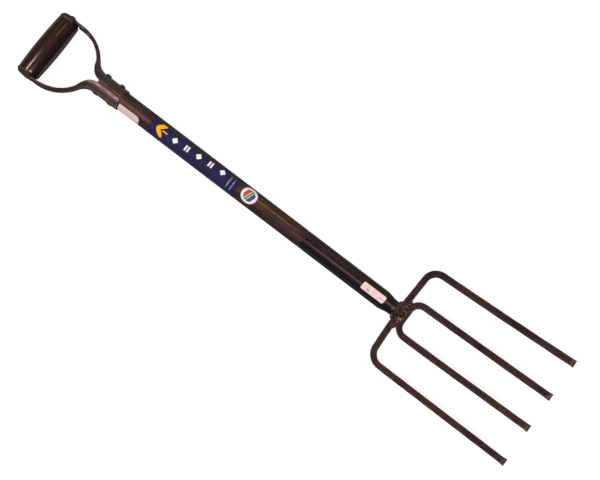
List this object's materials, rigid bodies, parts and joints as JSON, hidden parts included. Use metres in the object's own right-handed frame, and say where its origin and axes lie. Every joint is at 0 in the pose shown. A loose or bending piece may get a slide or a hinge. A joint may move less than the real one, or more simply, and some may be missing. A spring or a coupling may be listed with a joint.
{
  "type": "digging fork",
  "caption": "Garden digging fork with square tines bent from bar, welded to a steel socket on a round wooden shaft with a riveted D-handle.",
  "frame": {"origin": "middle of the fork's box on the surface that it lies on, back down", "axes": "+X along the shaft towards the tine tips, +Y the fork's right side seen from its front, +Z out of the fork's front"},
  "size_m": [1.0202, 0.2054, 0.1015],
  "materials": {
    "forged_steel": "thin brown-black varnish over hot-rolled square bar, slightly scaly, semi-matt",
    "weld_metal": "lumpy weld under the same varnish",
    "socket_steel": "black lacquer, satin gloss, small rust specks near the mouth",
    "strap_steel": "pressed sheet with brown-black lacquer, rims worn lighter",
    "rivet_steel": "lacquered steel heads",
    "stained_wood": "dark brown stain, lengthwise grain, satin",
    "grip_wood": "nearly black stain under gloss varnish",
    "navy_paper": "printed paper, satin, plain shapes in white and orange",
    "round_paper": "white printed paper with plain coloured bars",
    "white_paper": "matt white paper with faint grey marks"
  },
  "bodies": {
    "fork": {"outer_tine_bar": "forged_steel", "inner_tine_bar": "forged_steel", "shoulder_weld_left": "weld_metal", "shoulder_weld_right": "weld_metal", "front_weld": "weld_metal", "back_weld": "weld_metal", "neck_weld": "weld_metal", "socket": "socket_steel", "shaft": "stained_wood", "socket_nail_upper": "rivet_steel", "socket_nail_lower": "rivet_steel", "strap_right": "strap_steel", "strap_left": "strap_steel", "strap_rivet_upper": "rivet_steel", "strap_rivet_lower": "rivet_steel", "grip_rod": "rivet_steel", "wrap_label": "navy_paper", "round_label": "round_paper", "shaft_price_label": "white_paper", "socket_price_label": "white_paper"},
    "grip": {"grip": "grip_wood"}
  },
  "joints": [
    {"name": "grip_turn", "type": "hinge", "parent": "fork", "child": "grip", "pos_m": [-0.48948, -0.0034, 0.0206], "axis": [0, 1, 0], "continuous": true}
  ]
}
